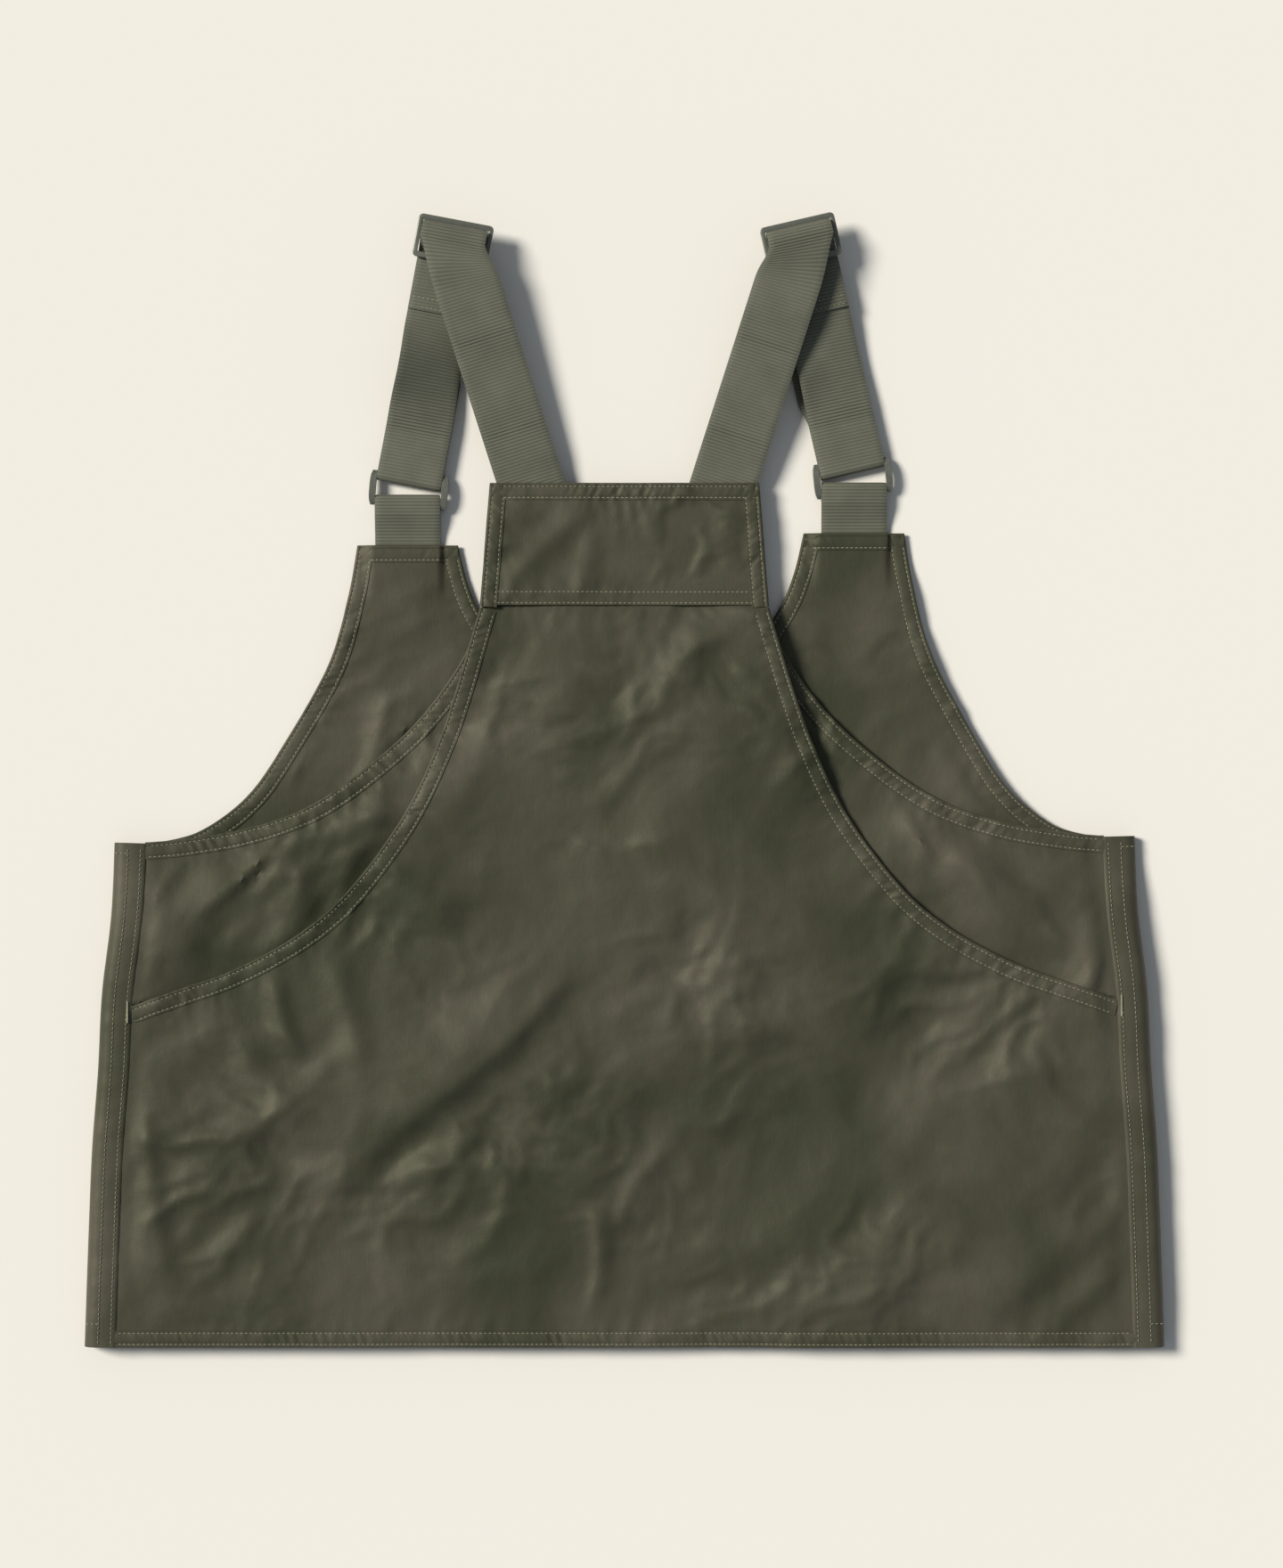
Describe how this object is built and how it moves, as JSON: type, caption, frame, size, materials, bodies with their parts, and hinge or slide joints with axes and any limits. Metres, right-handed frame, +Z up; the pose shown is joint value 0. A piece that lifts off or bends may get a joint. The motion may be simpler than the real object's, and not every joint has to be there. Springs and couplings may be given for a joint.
{
  "type": "smock apron",
  "caption": "Pull-over smock apron with a bib, a full-width kangaroo pocket with curved mouths, side bands and adjustable webbing shoulder straps, folded and laid flat.",
  "frame": {"origin": "on the floor under the middle of the garment's box, as it lies flat", "axes": "+X to the viewer's right across the garment, +Y from the hem towards the shoulder folds, +Z up from the floor"},
  "size_m": [0.624, 0.6537, 0.0234],
  "materials": {
    "olive_cloth": "crisp calendered plain weave, slightly lustrous",
    "olive_webbing": "ribbed woven tape, satin",
    "olive_metal": "olive enamel with worn rims"
  },
  "bodies": {
    "garment": {"rear_panel": "olive_cloth", "rear_hem_band": "olive_cloth", "rear_neck_binding": "olive_cloth", "rear_armhole_binding_left": "olive_cloth", "rear_armhole_binding_right": "olive_cloth", "side_band_left": "olive_cloth", "side_band_right": "olive_cloth", "body_panel": "olive_cloth", "body_armhole_binding_left": "olive_cloth", "body_armhole_binding_right": "olive_cloth", "pocket_panel": "olive_cloth", "pocket_mouth_binding_left": "olive_cloth", "pocket_mouth_binding_right": "olive_cloth", "bib_yoke": "olive_cloth", "bib_top_band": "olive_cloth", "bib_side_binding_left": "olive_cloth", "bib_side_binding_right": "olive_cloth", "front_hem_band": "olive_cloth", "tab_webbing_left": "olive_webbing", "tab_webbing_right": "olive_webbing", "strap_ring_loop_left": "olive_webbing", "strap_ring_loop_right": "olive_webbing", "strap_return_left": "olive_webbing", "strap_return_right": "olive_webbing", "strap_webbing_left": "olive_webbing", "strap_webbing_right": "olive_webbing"},
    "ring_left": {"strap_ring_left": "olive_metal"},
    "ring_right": {"strap_ring_right": "olive_metal"},
    "slider_left": {"strap_slider_left": "olive_metal"},
    "slider_right": {"strap_slider_right": "olive_metal"}
  },
  "joints": [
    {"name": "ring_hinge_left", "type": "hinge", "parent": "garment", "child": "ring_left", "pos_m": [-0.1255, 0.15939, 0.0045], "axis": [0.9961, -0.0882, 0], "range_deg": [0, 30], "deforming": ["strap_ring_loop_left"]},
    {"name": "ring_hinge_right", "type": "hinge", "parent": "garment", "child": "ring_right", "pos_m": [0.1328, 0.16639, 0.0045], "axis": [0.9943, 0.1067, 0], "range_deg": [0, 30], "deforming": ["strap_ring_loop_right"]},
    {"name": "slider_tilt_left", "type": "hinge", "parent": "garment", "child": "slider_left", "pos_m": [-0.09863, 0.3099, 0.0153], "axis": [-0.9826, 0.1859, 0], "range_deg": [-5, 18]},
    {"name": "slider_tilt_right", "type": "hinge", "parent": "garment", "child": "slider_right", "pos_m": [0.10163, 0.3099, 0.0153], "axis": [-0.9744, -0.225, 0], "range_deg": [-5, 18]}
  ]
}
